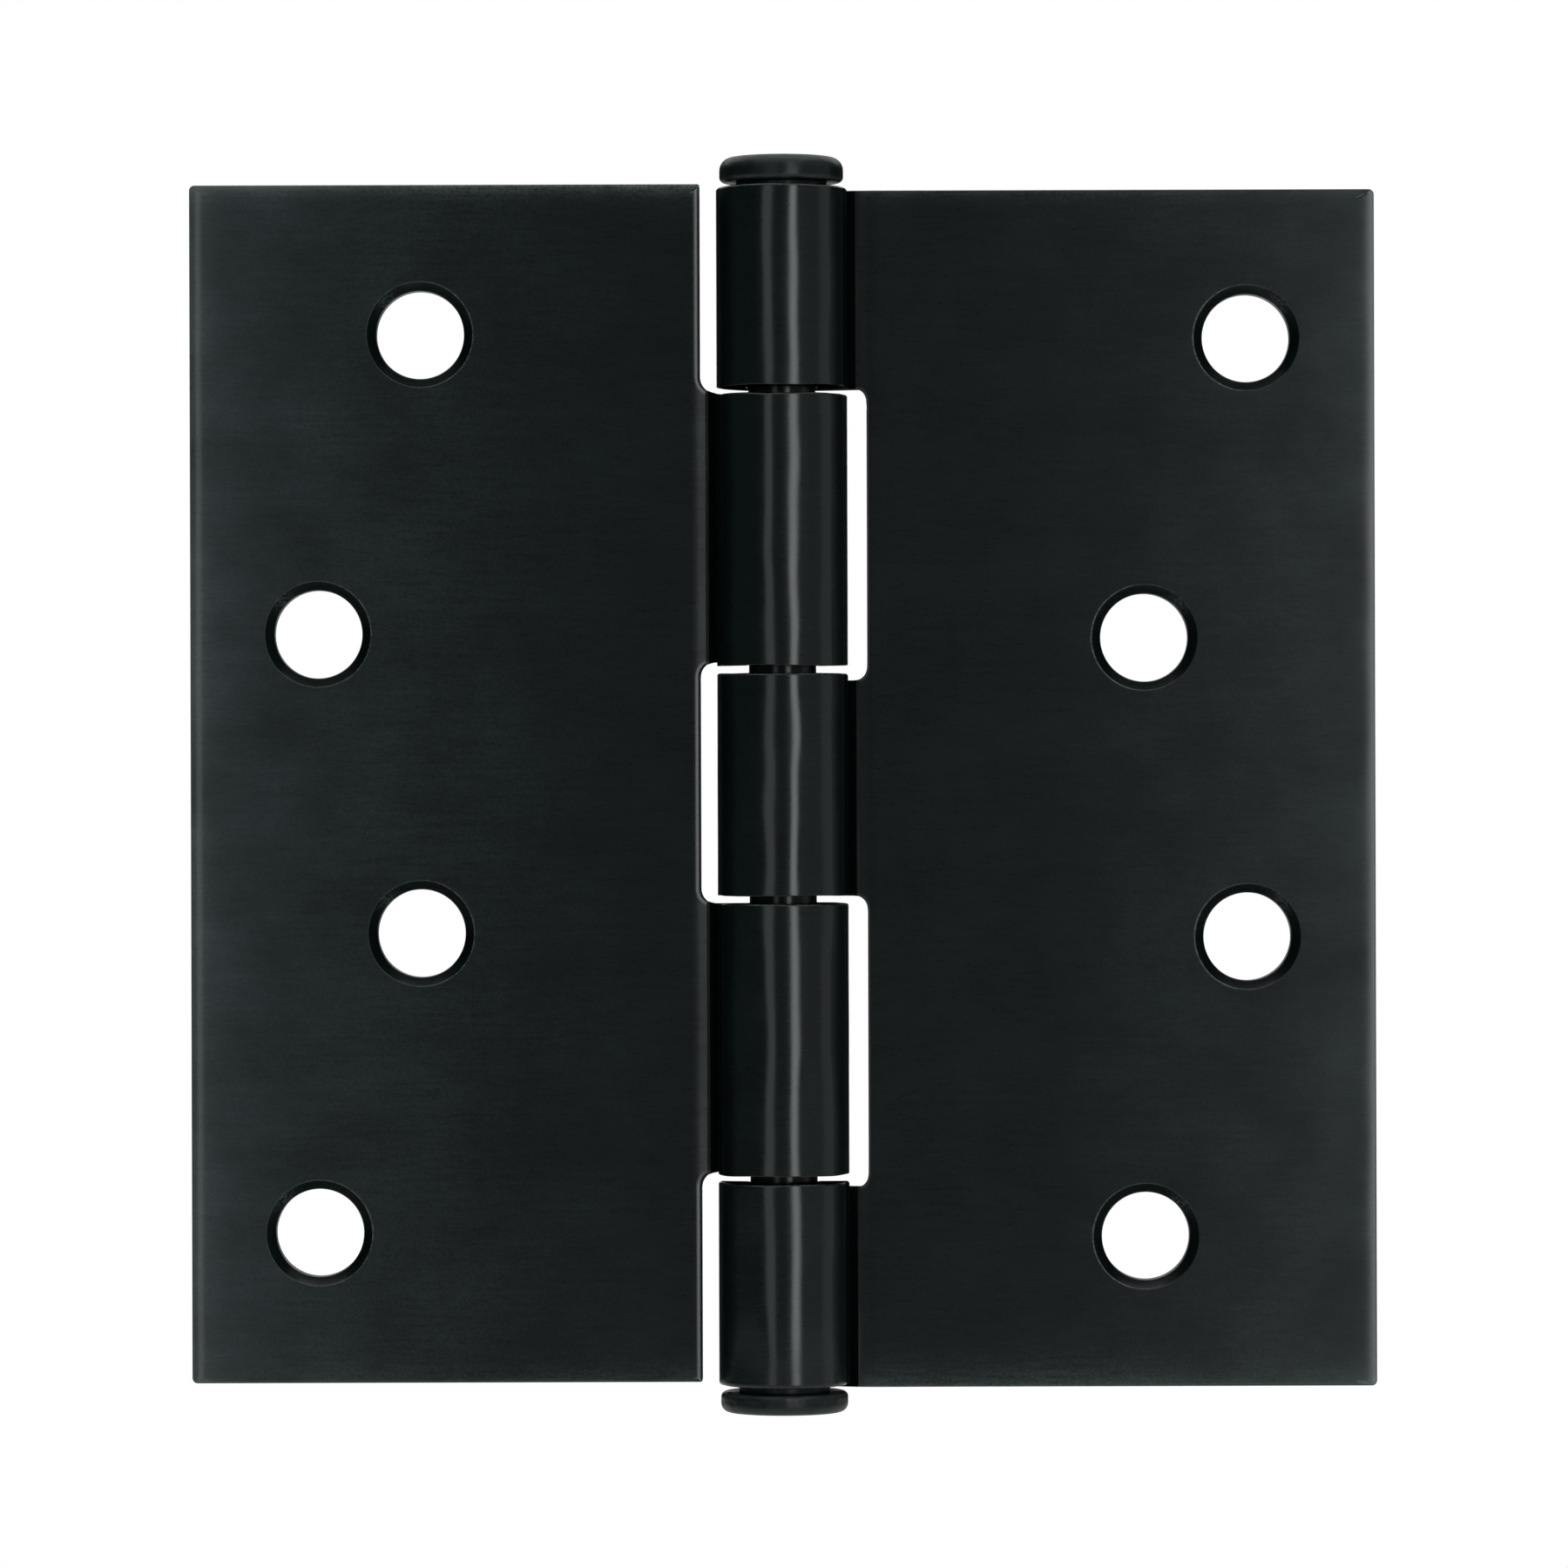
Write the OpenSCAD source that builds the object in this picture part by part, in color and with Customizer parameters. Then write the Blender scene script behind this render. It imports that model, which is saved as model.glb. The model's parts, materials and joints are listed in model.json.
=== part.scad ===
// Loose-pin butt hinge: two rolled steel leaves, a lift-out pin with a button
// head and a matching button tip pressed into the lowest knuckle.
// Frame: +Z runs up the pin axis, the origin is on that axis at mid-height of
// the barrel, the leaves lie open and flat along X, and their countersunk
// faces look along -Y.

/* [Leaves] */
// Height of each leaf and of the barrel
leaf_h = 101.6; // [95:0.1:115]
// Distance from the pin axis to the outer edge of a leaf
leaf_reach = 50.25; // [47:0.05:60]
// Thickness of the steel sheet
sheet_t = 2.6; // [2:0.1:2.8]
// Gap between the countersunk faces when the hinge is shut
closed_gap = 1.5; // [1:0.1:2]
// Radius of the outer corners of a leaf
corner_r = 0.45; // [0.2:0.05:6]
// Rounding that blanking leaves round the countersunk face
edge_round = 0.4; // [0.2:0.05:0.6]

/* [Barrel] */
// Diameter of the pin
pin_d = 5.7; // [5.2:0.05:6.4]
// Radial play of the pin in the rolled knuckles
pin_play = 0.1; // [0.03:0.005:0.12]
// Middle radius of the set bend that lifts the sheet to the barrel
bend_r = 10.325; // [8:0.025:12]
// Gap between the end of the rolled edge and the face of its own leaf
seam_gap = 0.3; // [0.2:0.05:0.8]
// Height of the two knuckles of the door leaf
door_knuckle_h = 22.9; // [20:0.1:25]
// Height of the middle knuckle
mid_knuckle_h = 18.8; // [16:0.1:22]
// Gap between neighbouring knuckles
knuckle_gap = 0.66; // [0.3:0.02:1]

/* [Notches] */
// How far the frame leaf sits below its knuckles, from the skew of the roll
frame_skew = 0.32; // [0:0.02:0.5]
// How far the door leaf sits above its knuckles
door_skew = 0.15; // [0:0.02:0.5]
// Room beside the barrel in the notches of the frame leaf
frame_side_room = 1.65; // [1.2:0.05:2.5]
// Room beside the barrel in the notches of the door leaf
door_side_room = 1.4; // [1.2:0.05:2.5]
// Room above and below a door knuckle in the frame leaf's notches
frame_end_room = 0.92; // [0.7:0.02:1.5]
// Room above and below the middle knuckle in the door leaf's notch
door_mid_room = 0.84; // [0.7:0.02:1.5]
// Room between an end knuckle and the door leaf
door_end_room = 0.62; // [0.6:0.02:1.5]
// Corner radius of the notches of the frame leaf
frame_notch_r = 0.95; // [0.4:0.05:1.1]
// Corner radius of the notches of the door leaf
door_notch_r = 1.1; // [0.4:0.05:1.1]
// Corner radius of the door leaf's top notch
door_top_notch_r = 1.5; // [0.4:0.05:1.6]

/* [Screw holes] */
// Diameter of the screw holes
hole_d = 7.45; // [5:0.05:7.8]
// Diameter of the countersinks at the face
sink_d = 8.9; // [8:0.05:10]
// Full angle of the countersinks
sink_angle = 82; // [80:1:100]
// Height between neighbouring holes
hole_pitch = 25.4; // [20:0.1:28]
// Distance from the pin axis to the near pair of holes
near_x = 30.7; // [18:0.1:34]
// Distance from the pin axis to the far pair of holes
far_x = 39.4; // [30:0.1:42]

/* [Pin and tip] */
// Diameter of the pin's button head
head_d = 10.5; // [9:0.1:13]
// Thickness of the head
head_h = 1.85; // [1.5:0.05:3]
// Rounding of the head's upper edge
head_round = 0.7; // [0.3:0.05:1]
// Radius of the crown of the head
crown_r = 60; // [40:5:120]
// How far the shoulders of pin and tip reach past the bore
shoulder_lip = 0.85; // [0.4:0.05:1]
// Height of the shoulder under the head
head_shoulder_h = 0.57; // [0.4:0.01:1]
// Diameter of the bottom tip
tip_d = 10.75; // [9:0.05:13]
// Thickness of the bottom tip
tip_h = 1.5; // [1.2:0.05:3]
// Rounding of the tip's lower edge
tip_round = 0.65; // [0.3:0.05:0.9]
// Height of the shoulder over the tip
tip_shoulder_h = 0.8; // [0.4:0.05:1]
// Length of the tip's shank inside the lowest knuckle
shank_h = 6; // [4:0.5:10]
// How much the shank is larger than the bore, per side
press = 0.01; // [0.005:0.005:0.02]
// Diameter of the hole through the tip, for driving the pin out
drive_d = 3; // [2:0.1:4]
// Space between the pin's end and the shank
pin_end_gap = 0.8; // [0.4:0.1:3]
// Length of the pin's tapered nose
nose_h = 1.6; // [0.8:0.1:3]
// How much the nose narrows, per side
nose_step = 1; // [0.4:0.1:1.5]

/* [Hidden] */
$fn = 96;
cut = 1;            // overshoot of cutters past the metal
seat = 0.03;        // gap that keeps seated faces apart
small_round = 0.3;  // rounding of minor edges
overlap = 0.5;      // how far a knuckle runs into its leaf
neck_room = 0.05;   // from the barrel to the line where knuckle and leaf part
full_turn = 360;
steel_black = [0.15, 0.16, 0.165];
steel_dark = [0.19, 0.2, 0.2];

// Section of the rolled sheet
bore_r = pin_d / 2 + pin_play;
barrel_r = bore_r + sheet_t;
mid_r = bore_r + sheet_t / 2;
face_y = closed_gap / 2;
mid_y = face_y + sheet_t / 2;
bend_y = mid_y + bend_r;
bend_x = sqrt((mid_r - mid_y) * (mid_r + mid_y + 2 * bend_r));
wrap_start = atan2(bend_y, bend_x);
neck_x = barrel_r + neck_room;

// The rolled edge stops short of the outside of the set bend by the seam gap
centre_distance = mid_r + bend_r;
end_distance = bend_r + sheet_t / 2 + seam_gap;
wrap_gap = acos((barrel_r ^ 2 + centre_distance ^ 2 - end_distance ^ 2) / (2 * barrel_r * centre_distance));
wrap_end = full_turn + wrap_start - wrap_gap;

// Heights of the knuckles, from mid-height
half_leaf = leaf_h / 2;
mid_top = mid_knuckle_h / 2;
door_low = mid_top + knuckle_gap;
door_top = door_low + door_knuckle_h;
end_low = door_top + knuckle_gap;
frame_knuckles = [[end_low, half_leaf], [-mid_top, mid_top], [-half_leaf, -end_low]];
door_knuckles = [[door_low, door_top], [-door_top, -door_low]];

// Notches of each leaf, in its own height: bottom, top, lower and upper corner radius
frame_notch_x = barrel_r + frame_side_room;
frame_notches = [
    [door_low - frame_end_room, door_top + frame_end_room, frame_notch_r, frame_notch_r],
    [-door_top - frame_end_room, -door_low + frame_end_room, frame_notch_r, frame_notch_r],
];
door_notch_x = barrel_r + door_side_room;
door_notches = [
    [end_low - door_end_room, half_leaf + cut, door_top_notch_r, 0],
    [-mid_top - door_mid_room, mid_top + door_mid_room, door_notch_r, door_notch_r],
    [-half_leaf - cut, -end_low + door_end_room, 0, door_notch_r],
];

// Screw rows from the top down, and the cone that meets them
hole_rows = [1.5, 0.5, -0.5, -1.5] * hole_pitch;
sink_slope = tan(sink_angle / 2);
sink_h = (sink_d - hole_d) / 2 / sink_slope;
sink_lead = 0.2;

shoulder_r = bore_r + shoulder_lip;

// What a round of radius r leaves of a square corner at the origin
module corner_waste(r) {
    translate([-r, -r])
        difference() {
            square(r + cut);
            circle(r);
        }
}

module ring(r_in, r_out) {
    difference() {
        circle(r_out);
        circle(r_in);
    }
}

// The sheet seen along the pin: flat leaf, set bend and rolled barrel. The bend
// and the roll meet on the line between their centres, where they are tangent.
module sheet_section() {
    steps = 6;
    bend_centre = [bend_x, bend_y];
    rim = [for (i = [1:steps]) wrap_start + (wrap_end - wrap_start) * i / steps];
    intersection() {
        ring(bore_r, barrel_r);
        polygon(concat([[0, 0], bend_centre], [for (a = rim) 2 * barrel_r * [cos(a), sin(a)]]));
    }
    intersection() {
        translate(bend_centre)
            ring(bend_r - sheet_t / 2, bend_r + sheet_t / 2);
        polygon([[0, 0], bend_centre, [bend_x, -cut]]);
    }
    translate([bend_x, face_y])
        square([leaf_reach - bend_x, sheet_t]);
}

// One notch: a slot from the neck to its edge, with rounded inner corners
module notch(edge_x, low, high, low_r, high_r) {
    difference() {
        translate([neck_x - cut, low])
            square([edge_x - neck_x + cut, high - low]);
        if (low_r > 0)
            translate([edge_x, low])
                mirror([0, 1])
                    corner_waste(low_r);
        if (high_r > 0)
            translate([edge_x, high])
                corner_waste(high_r);
    }
}

// The blank seen from the front: knuckles, and the leaf with its notches
module blank(skew, knuckles, notches, edge_x) {
    for (k = knuckles) {
        translate([-barrel_r - cut, k[0]])
            square([barrel_r + cut + neck_x, k[1] - k[0]]);
        translate([neck_x - overlap, k[0] + 2 * overlap])
            square([2 * overlap, k[1] - k[0] - 4 * overlap]);
    }
    translate([0, skew])
        difference() {
            translate([neck_x, -half_leaf])
                square([leaf_reach - neck_x, leaf_h]);
            for (n = notches)
                notch(edge_x, n[0], n[1], n[2], n[3]);
            for (side = [0, 1])
                mirror([0, side])
                    translate([leaf_reach, half_leaf])
                        corner_waste(corner_r);
        }
}

// Rounded-off strips along the outer, top, bottom and notch edges of the face
module edge_waste(skew, notches, edge_x) {
    translate([leaf_reach, face_y, skew - half_leaf - cut])
        linear_extrude(leaf_h + 2 * cut)
            mirror([0, 1])
                corner_waste(edge_round);
    for (side = [0, 1])
        translate([neck_x, face_y, skew])
            mirror([0, 0, side])
                translate([0, 0, half_leaf])
                    rotate([90, 0, 90])
                        linear_extrude(leaf_reach - neck_x + cut)
                            mirror([1, 0])
                                corner_waste(edge_round);
    for (n = notches)
        translate([edge_x, face_y, skew + n[0] + n[2]])
            linear_extrude(n[1] - n[3] - n[0] - n[2])
                rotate(180)
                    corner_waste(edge_round);
}

// Screw hole with its countersink, drilled from the face along +Y
module screw_hole() {
    rotate([-90, 0, 0]) {
        translate([0, 0, -cut])
            cylinder(d = hole_d, h = sheet_t + 2 * cut);
        translate([0, 0, -sink_lead])
            cylinder(r1 = sink_d / 2 + sink_lead * sink_slope, r2 = hole_d / 2, h = sink_h + sink_lead);
    }
}

// A finished leaf on the +X side
module leaf(skew, knuckles, notches, edge_x, hole_xs) {
    difference() {
        intersection() {
            translate([0, 0, -half_leaf - cut])
                linear_extrude(leaf_h + 2 * cut)
                    sheet_section();
            rotate([90, 0, 0])
                linear_extrude(4 * barrel_r, center = true)
                    blank(skew, knuckles, notches, edge_x);
        }
        edge_waste(skew, notches, edge_x);
        for (i = [0:3])
            translate([hole_xs[i], face_y, skew + hole_rows[i]])
                screw_hole();
    }
}

// Three-knuckle leaf, screwed to the frame
module frame_leaf() {
    color(steel_black)
        leaf(-frame_skew, frame_knuckles, frame_notches, frame_notch_x, [far_x, near_x, far_x, near_x]);
}

// Two-knuckle leaf, screwed to the door
module door_leaf() {
    color(steel_black)
        mirror([1, 0, 0])
            leaf(door_skew, door_knuckles, door_notches, door_notch_x, [near_x, far_x, near_x, far_x]);
}

// Disc with rounded rims, standing on z = 0
module button(d, h, low_r, high_r) {
    rotate_extrude()
        difference() {
            square([d / 2, h]);
            translate([d / 2, h])
                corner_waste(high_r);
            translate([d / 2, 0])
                mirror([0, 1])
                    corner_waste(low_r);
        }
}

// Lift-out pin with its crowned button head
module hinge_pin() {
    shoulder_z = half_leaf + seat;
    head_z = shoulder_z + head_shoulder_h;
    nose_z = -half_leaf + shank_h + pin_end_gap;
    color(steel_dark) {
        intersection() {
            translate([0, 0, head_z])
                button(head_d, head_h, small_round, head_round);
            translate([0, 0, head_z + head_h - crown_r])
                sphere(crown_r);
        }
        translate([0, 0, shoulder_z])
            cylinder(r = shoulder_r, h = head_shoulder_h + small_round);
        translate([0, 0, nose_z + nose_h])
            cylinder(d = pin_d, h = head_z - nose_z - nose_h);
        translate([0, 0, nose_z])
            cylinder(d1 = pin_d - 2 * nose_step, d2 = pin_d, h = nose_h);
    }
}

// Button tip pressed into the lowest knuckle, bored through to drive the pin out
module bottom_tip() {
    tip_top = -half_leaf - tip_shoulder_h;
    color(steel_dark)
        difference() {
            union() {
                translate([0, 0, tip_top - tip_h])
                    button(tip_d, tip_h, tip_round, small_round);
                translate([0, 0, tip_top - small_round])
                    cylinder(r = shoulder_r, h = tip_shoulder_h + small_round);
                translate([0, 0, tip_top])
                    cylinder(r = bore_r + press, h = tip_shoulder_h + shank_h);
            }
            translate([0, 0, tip_top - tip_h - cut])
                cylinder(d = drive_d, h = tip_h + tip_shoulder_h + shank_h + 2 * cut);
        }
}

frame_leaf();
door_leaf();
hinge_pin();
bottom_tip();
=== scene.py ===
"""Loose-pin butt hinge in satin black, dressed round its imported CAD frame."""

import json
import math

import bmesh
import bpy
from bpy.props import FloatProperty, PointerProperty, StringProperty
from mathutils import Matrix, Vector


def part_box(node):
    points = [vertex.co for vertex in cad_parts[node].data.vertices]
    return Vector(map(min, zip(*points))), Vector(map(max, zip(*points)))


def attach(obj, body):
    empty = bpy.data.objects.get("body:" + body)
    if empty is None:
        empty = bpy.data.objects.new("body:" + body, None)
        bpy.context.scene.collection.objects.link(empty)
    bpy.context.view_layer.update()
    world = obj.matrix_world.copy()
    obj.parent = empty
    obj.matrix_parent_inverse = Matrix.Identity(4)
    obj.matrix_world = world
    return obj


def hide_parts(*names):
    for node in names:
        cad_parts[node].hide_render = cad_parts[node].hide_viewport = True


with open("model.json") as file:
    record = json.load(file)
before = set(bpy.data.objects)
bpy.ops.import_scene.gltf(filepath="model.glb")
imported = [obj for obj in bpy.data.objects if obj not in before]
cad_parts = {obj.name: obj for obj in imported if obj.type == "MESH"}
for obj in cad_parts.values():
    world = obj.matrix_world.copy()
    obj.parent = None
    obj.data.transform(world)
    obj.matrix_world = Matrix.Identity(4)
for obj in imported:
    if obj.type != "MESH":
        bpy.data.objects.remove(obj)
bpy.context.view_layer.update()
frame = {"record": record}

bl_info = {
    "name": "Door hinge",
    "version": (1, 0, 0),
    "blender": (4, 5, 0),
    "location": "View3D > Sidebar > Hinge",
    "description": "Rolls the two leaves of a loose-pin butt hinge, turns its pin and tip, and sets a plain studio",
    "category": "Add Mesh",
}

MM = 0.001
SAME = 1e-7                # metres: two heights or places closer than this are one
NEAR = 1e-6                # metres: slack of a test against a height or level
BACK, FRONT = 1, -1
FRAME_LEAF, DOOR_LEAF, HINGE_PIN, BOTTOM_TIP = "frame_leaf", "door_leaf", "hinge_pin", "bottom_tip"
LEAF_BOX = {leaf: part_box(leaf) for leaf in (FRAME_LEAF, DOOR_LEAF)}
PIN_BOX, TIP_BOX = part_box(HINGE_PIN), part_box(BOTTOM_TIP)
HALF_BARREL = LEAF_BOX[FRAME_LEAF][1].z


# ---------------------------------------------------------------- sizes

def length_prop(name, default, description):
    """A length in metres, for the panel."""
    return FloatProperty(name=name, description=description, default=default, unit="LENGTH")


def angle_prop(name, degrees, description):
    """An angle, for the panel."""
    return FloatProperty(name=name, description=description, default=math.radians(degrees), subtype="ANGLE")


def hex_prop(name, default, description):
    """A colour as an sRGB hex value, for the panel."""
    return StringProperty(name=name, description=description, default=default)


class LeafSizes(bpy.types.PropertyGroup):
    """Sizes of the rolled sheet that both leaves share."""

    sheet: length_prop("Sheet", 2.6 * MM, "Thickness of the steel sheet")
    face_height: length_prop("Face height", 0.75 * MM, "From the pin axis to the countersunk face")
    barrel: length_prop("Barrel radius", LEAF_BOX[FRAME_LEAF][1].y, "Outer radius of the rolled knuckles")
    bend_start: length_prop("Bend start", 7.9 * MM, "Distance from the pin axis at which the flat leaf starts to bend")
    ease_radius: length_prop("Ease radius", 6 * MM, "Middle radius of the shallow droop before the bend")
    ease_angle: angle_prop("Ease angle", 6.0, "Tilt of the sheet after the shallow droop")
    ease_run: length_prop("Ease run", 0.75 * MM, "Straight length between the droop and the bend")
    bend_radius: length_prop("Bend radius", 1.6 * MM, "Middle radius of the set bend")
    roll_end: angle_prop("Roll end", 366.8, "Where the roll stops, as a turn about the pin from the leaf's side")
    die_roll: length_prop("Die roll", 0.85 * MM, "Width of the droop that blanking leaves round the face")
    die_angle: angle_prop("Die roll angle", 20, "Slope of the droop at the cut edge")
    nose: length_prop("Edge nose", 0.1 * MM, "Radius between the droop and the cut edge")
    rim_wave: length_prop("Rim wave", 0.09 * MM, "How far the sheared rims of the knuckles wander")
    back_round: length_prop("Back round", 0.35 * MM, "Rounding of the back face's edges, the knuckles' later rims")
    sink_rim: length_prop("Countersink radius", 4.5 * MM, "Radius of the countersinks at the face")
    # painted shade: out to this distance the nook gets the dead black film
    nook: length_prop("Nook", 6.24 * MM, "Distance from the axis up to which the film stays dry beside the knuckles")
    sink_lip: length_prop("Countersink lip", 0.2 * MM, "Rounding between the countersink and the face")
    sink_depth: length_prop("Countersink depth", 0.83 * MM, "Depth at which the countersink meets the screw hole")


class PinSizes(bpy.types.PropertyGroup):
    """Sizes of the pin and the tip that its frame boxes don't give."""

    pin: length_prop("Pin radius", 2.85 * MM, "Radius of the pin")
    shank: length_prop("Shank radius", 2.95 * MM, "Radius of the tip's shank")
    shoulder: length_prop("Shoulder radius", 3.85 * MM, "Radius of the shoulders beside the barrel")
    head_height: length_prop("Head height", 2.3 * MM, "Thickness of the pin's button head")
    head_round: length_prop("Head round", 1.1 * MM, "Rounding of the head's upper rim")
    tip_height: length_prop("Tip height", 1.75 * MM, "Thickness of the bottom tip")
    tip_round: length_prop("Tip round", 0.75 * MM, "Rounding of the tip's lower rim")
    small_round: length_prop("Small round", 0.45 * MM, "Rounding of minor rims")
    drive_hole: length_prop("Drive hole", 1.5 * MM, "Radius of the hole for driving the pin out")


class Finish(bpy.types.PropertyGroup):
    """Colours of the black coating, as sRGB hex values; some of them are painted light and painted shade."""

    coat: hex_prop("Coat", "020A0B", "Satin black lacquer near the barrel")
    # painted light: the coat's lighter tone towards the free edges
    painted_light_coat: hex_prop("Thin coat", "282F30", "The lighter lacquer towards the free edges")
    # painted highlight: the tone along the free edges
    edge_highlight_coat: hex_prop("Edge coat", "505858", "The lacquer within a millimetre of the free edges")
    # rubbing on the rims, and painted highlight on the countersink lips
    wear_and_highlight_tone: hex_prop("Bright edge", "565E5E", "The lightest tone, on rubbed rims")
    # painted shade: the deep black of the shanks, and of the dead black film in the nooks and on the knuckle ends
    shank: hex_prop("Shank", "010405", "The deep black of the shanks, the sheared ends and the nooks")


# ---------------------------------------------------------------- shared helpers

def linear(hex_value):
    """An sRGB hex value as a linear colour with alpha."""
    channels = [int(hex_value[i:i + 2], 16) / 255 for i in (0, 2, 4)]
    return [c / 12.92 if c <= 0.04045 else ((c + 0.055) / 1.055) ** 2.4 for c in channels] + [1.0]


def add_node(tree, kind, inputs=None, **settings):
    """Adds a node with its settings, and with a value or a link for each named input."""
    node = tree.nodes.new(kind)
    for name, value in settings.items():
        setattr(node, name, value)
    for key, value in (inputs or {}).items():
        if isinstance(value, bpy.types.NodeSocket):
            tree.links.new(value, node.inputs[key])
        else:
            node.inputs[key].default_value = value
    return node


def math_nodes(tree):
    """A short way to add math nodes to one tree."""
    def calc(operation, *values, **settings):
        return add_node(tree, "ShaderNodeMath", dict(enumerate(values)), operation=operation, **settings).outputs[0]

    return calc


def ramp(tree, value, start, stop, low=0.0, high=1.0, **settings):
    """A value that goes from low to high between start and stop, and no further."""
    inputs = {0: value, 1: start, 2: stop, 3: low, 4: high}
    return add_node(tree, "ShaderNodeMapRange", inputs, **settings).outputs[0]


def separate(tree, vector):
    return add_node(tree, "ShaderNodeSeparateXYZ", {0: vector}).outputs


def noise_at(tree, place, scale, detail=2.0, **inputs):
    inputs = {"Vector": place, "Scale": scale, "Detail": detail, **inputs}
    return add_node(tree, "ShaderNodeTexNoise", inputs).outputs[0]


def mix_values(tree, share, one, other):
    return add_node(tree, "ShaderNodeMix", {0: share, 2: one, 3: other}).outputs[0]


def mix_colours(tree, share, one, other):
    return add_node(tree, "ShaderNodeMix", {0: share, 6: one, 7: other}, data_type="RGBA").outputs[2]


def named_material(name, build):
    """The material of this name, built the first time it is asked for."""
    material = bpy.data.materials.get(name)
    if material is None:
        material = bpy.data.materials.new(name)
        material.use_nodes = True
        material.node_tree.nodes.clear()
        build(material.node_tree)
    return material


def link_object(name, mesh):
    piece = bpy.data.objects.new(name, mesh)
    bpy.context.scene.collection.objects.link(piece)
    return piece


def finish_mesh(mesh):
    """Merges doubles, points the faces outwards and shades them smooth."""
    bm = bmesh.new()
    bm.from_mesh(mesh)
    bmesh.ops.remove_doubles(bm, verts=bm.verts, dist=SAME)
    bmesh.ops.recalc_face_normals(bm, faces=bm.faces)
    for face in bm.faces:
        face.smooth = True
    bm.to_mesh(mesh)
    bm.free()


# ---------------------------------------------------------------- the leaves

BEND_FADE = 1.8 * MM       # beside a tongue, the set bend dies out over this height


class LeafPlan:
    """Heights of one leaf: its tongues in the flat and its knuckles in the roll."""

    def __init__(self, leaf, notch, tongues, knuckles, edges, corners):
        self.leaf = leaf
        self.notch = notch
        self.tongues = tongues
        self.knuckles = knuckles
        self.low, self.high = edges
        self.corners = corners
        self.side = -1 if leaf == DOOR_LEAF else 1
        low, high = LEAF_BOX[leaf]
        self.reach = max(-low.x, high.x)
        bolts = [m for m in frame["record"]["mounts"] if m["kind"] == "bolt_pattern"]
        patterns = [m for m in bolts if m["name"].startswith(leaf)]
        self.hole = patterns[0]["dims"]["hole_r_mm"] * MM
        self.holes = [
            (abs(m["pos_m"][0]), m["pos_m"][2] + half * m["dims"]["spacing_y_mm"] * MM)
            for m in patterns
            for half in (-0.5, 0.5)
        ]

    def lift(self, z):
        """How far the skew of the roll raises a point of a tongue at this height."""
        for (low, high), (knuckle_low, knuckle_high) in zip(self.tongues, self.knuckles):
            if low - NEAR <= z <= high + NEAR:
                share = (z - low) / (high - low)
                return (knuckle_low - low) * (1 - share) + (knuckle_high - high) * share
        return 0.0

    def set_share(self, z):
        """How fully the set bend is formed at this height: wholly at the tongues, and not between them."""
        away = min(max(low - z, z - high, 0.0) for low, high in self.tongues)
        share = min(away / BEND_FADE, 1.0)
        return 1 - share * share * (3 - 2 * share)


PLANS = (
    LeafPlan(
        FRAME_LEAF,
        notch=7.2 * MM,
        tongues=[(33.56 * MM, 50.36 * MM), (-9.46 * MM, 8.82 * MM), (-51.12 * MM, -34.2 * MM)],
        knuckles=[(33.62 * MM, 50.5 * MM), (-9.4 * MM, 9.4 * MM), (-50.8 * MM, -33.62 * MM)],
        edges=(-51.12 * MM, 50.36 * MM),
        corners=(0.95 * MM, 0.95 * MM),
    ),
    LeafPlan(
        DOOR_LEAF,
        notch=6.95 * MM,
        tongues=[(10.39 * MM, 33.15 * MM), (-32.85 * MM, -10.09 * MM)],
        knuckles=[(10.06 * MM, 32.96 * MM), (-32.96 * MM, -10.06 * MM)],
        edges=(-50.65 * MM, 50.95 * MM),
        corners=(1.3 * MM, 1.1 * MM),
    ),
)


class Corner:
    """A corner of the blank's outline, with the shares of the edge rounding on the side that follows it."""

    def __init__(self, u, z, radius, face=1.0, back=1.0, slope=1.0):
        self.u, self.z, self.radius, self.face, self.back, self.slope = u, z, radius, face, back, slope

    def shares(self, side):
        """How wide the rounding is on this side of the sheet, and how deep it goes."""
        return (self.back, self.back) if side == BACK else (self.face, self.face * self.slope)


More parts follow.
